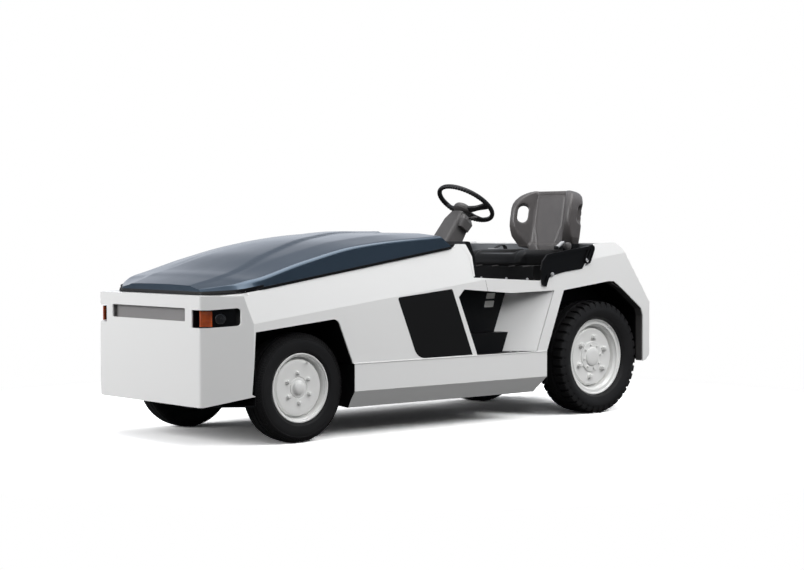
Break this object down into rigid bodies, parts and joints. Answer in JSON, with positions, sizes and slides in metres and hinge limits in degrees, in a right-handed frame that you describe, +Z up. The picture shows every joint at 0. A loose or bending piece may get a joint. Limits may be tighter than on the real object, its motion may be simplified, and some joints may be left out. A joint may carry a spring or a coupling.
{
  "type": "airport baggage tug",
  "caption": "Low electric tow tractor for airport baggage trains, with a sloping nose hood, an open two-side cab, offset driver's seat and steered front wheels.",
  "frame": {"origin": "on the ground under the middle of the overall length and width", "axes": "+X forward, +Y to the driver's left, +Z up"},
  "size_m": [3.46, 1.314, 1.4119],
  "materials": {
    "body_paint": "satin",
    "hood_paint": "gloss",
    "deck_paint": "satin",
    "frame_black": "satin",
    "trim_black": "matte",
    "shroud_grey": "matte",
    "wheel_black": "satin",
    "seat_vinyl": "satin",
    "cushion_vinyl": "gloss",
    "tyre_rubber": "matte",
    "rim_paint": "satin",
    "mat_rubber": "matte",
    "amber_lens": "gloss",
    "clear_lens": "gloss",
    "red_lens": "gloss",
    "bare_steel": "satin",
    "cast_grey": "matte",
    "battery_case": "matte",
    "mesh_grey": "satin"
  },
  "bodies": {
    "vehicle": {"nose_panel": "body_paint", "slot_mesh": "mesh_grey", "lamp_housings": "trim_black", "turn_lamps": "amber_lens", "round_lamps": "clear_lens", "side_panel_left": "body_paint", "side_panel_right": "body_paint", "sills": "body_paint", "step_walls": "body_paint", "boarding_steps": "frame_black", "floor_pan": "mat_rubber", "dash_panel": "trim_black", "steering_column": "shroud_grey", "pedals": "frame_black", "seat_deck": "body_paint", "seat_base": "cushion_vinyl", "seat_cushion": "cushion_vinyl", "seat_back": "seat_vinyl", "hip_guards": "frame_black", "rear_deck": "deck_paint", "tail_panel": "body_paint", "tail_lamps": "red_lens", "front_arch_liners": "frame_black", "rear_arch_liners": "frame_black", "chassis_frame": "frame_black", "battery_block": "battery_case", "drive_motor": "cast_grey", "rear_axle": "cast_grey", "front_axle": "cast_grey", "leaf_springs": "frame_black", "tow_hitch": "frame_black"},
    "hood_lid": {"hood": "hood_paint"},
    "left_knuckle": {"knuckle_left": "cast_grey"},
    "right_knuckle": {"knuckle_right": "cast_grey"},
    "track_rod": {"tie_rod": "bare_steel"},
    "hand_wheel": {"steering_wheel": "wheel_black"},
    "front_left_wheel": {"front_left_tyre": "tyre_rubber", "front_left_rim": "rim_paint"},
    "front_right_wheel": {"front_right_tyre": "tyre_rubber", "front_right_rim": "rim_paint"},
    "rear_left_wheel": {"rear_left_tyre": "tyre_rubber", "rear_left_rim": "rim_paint"},
    "rear_right_wheel": {"rear_right_tyre": "tyre_rubber", "rear_right_rim": "rim_paint"},
    "lift_pin": {"hitch_pin": "bare_steel"}
  },
  "joints": [
    {"name": "hood_hinge", "type": "hinge", "parent": "vehicle", "child": "hood_lid", "pos_m": [1.62, 0, 0.815], "axis": [0, 1, 0], "range_deg": [0, 60]},
    {"name": "steer_left", "type": "hinge", "parent": "vehicle", "child": "left_knuckle", "pos_m": [1.145, 0.44, 0.295], "axis": [0, 0, 1], "range_deg": [-35, 35]},
    {"name": "steer_right", "type": "hinge", "parent": "vehicle", "child": "right_knuckle", "pos_m": [1.145, -0.44, 0.295], "axis": [0, 0, 1], "range_deg": [-35, 35]},
    {"name": "track_rod_pivot", "type": "hinge", "parent": "left_knuckle", "child": "track_rod", "pos_m": [1.035, 0.44, 0.259], "axis": [0, 0, 1], "range_deg": [-35, 35]},
    {"name": "hand_wheel_turn", "type": "hinge", "parent": "vehicle", "child": "hand_wheel", "pos_m": [-0.375, 0.24, 1.3], "axis": [-0.5664, 0, 0.8241], "range_deg": [-540, 540]},
    {"name": "front_left_spin", "type": "hinge", "parent": "left_knuckle", "child": "front_left_wheel", "pos_m": [1.145, 0.51, 0.295], "axis": [0, 1, 0], "continuous": true},
    {"name": "front_right_spin", "type": "hinge", "parent": "right_knuckle", "child": "front_right_wheel", "pos_m": [1.145, -0.51, 0.295], "axis": [0, 1, 0], "continuous": true},
    {"name": "rear_left_spin", "type": "hinge", "parent": "vehicle", "child": "rear_left_wheel", "pos_m": [-1.173, 0.497, 0.35], "axis": [0, 1, 0], "continuous": true},
    {"name": "rear_right_spin", "type": "hinge", "parent": "vehicle", "child": "rear_right_wheel", "pos_m": [-1.173, -0.497, 0.35], "axis": [0, 1, 0], "continuous": true},
    {"name": "hitch_pin_lift", "type": "slide", "parent": "vehicle", "child": "lift_pin", "axis": [0, 0, 1], "range_m": [0, 0.15]}
  ],
  "couplings": [
    {"joint": "steer_right", "follows": "steer_left", "ratio": 1},
    {"joint": "track_rod_pivot", "follows": "steer_left", "ratio": -1},
    {"joint": "hand_wheel_turn", "follows": "steer_left", "ratio": 15}
  ]
}
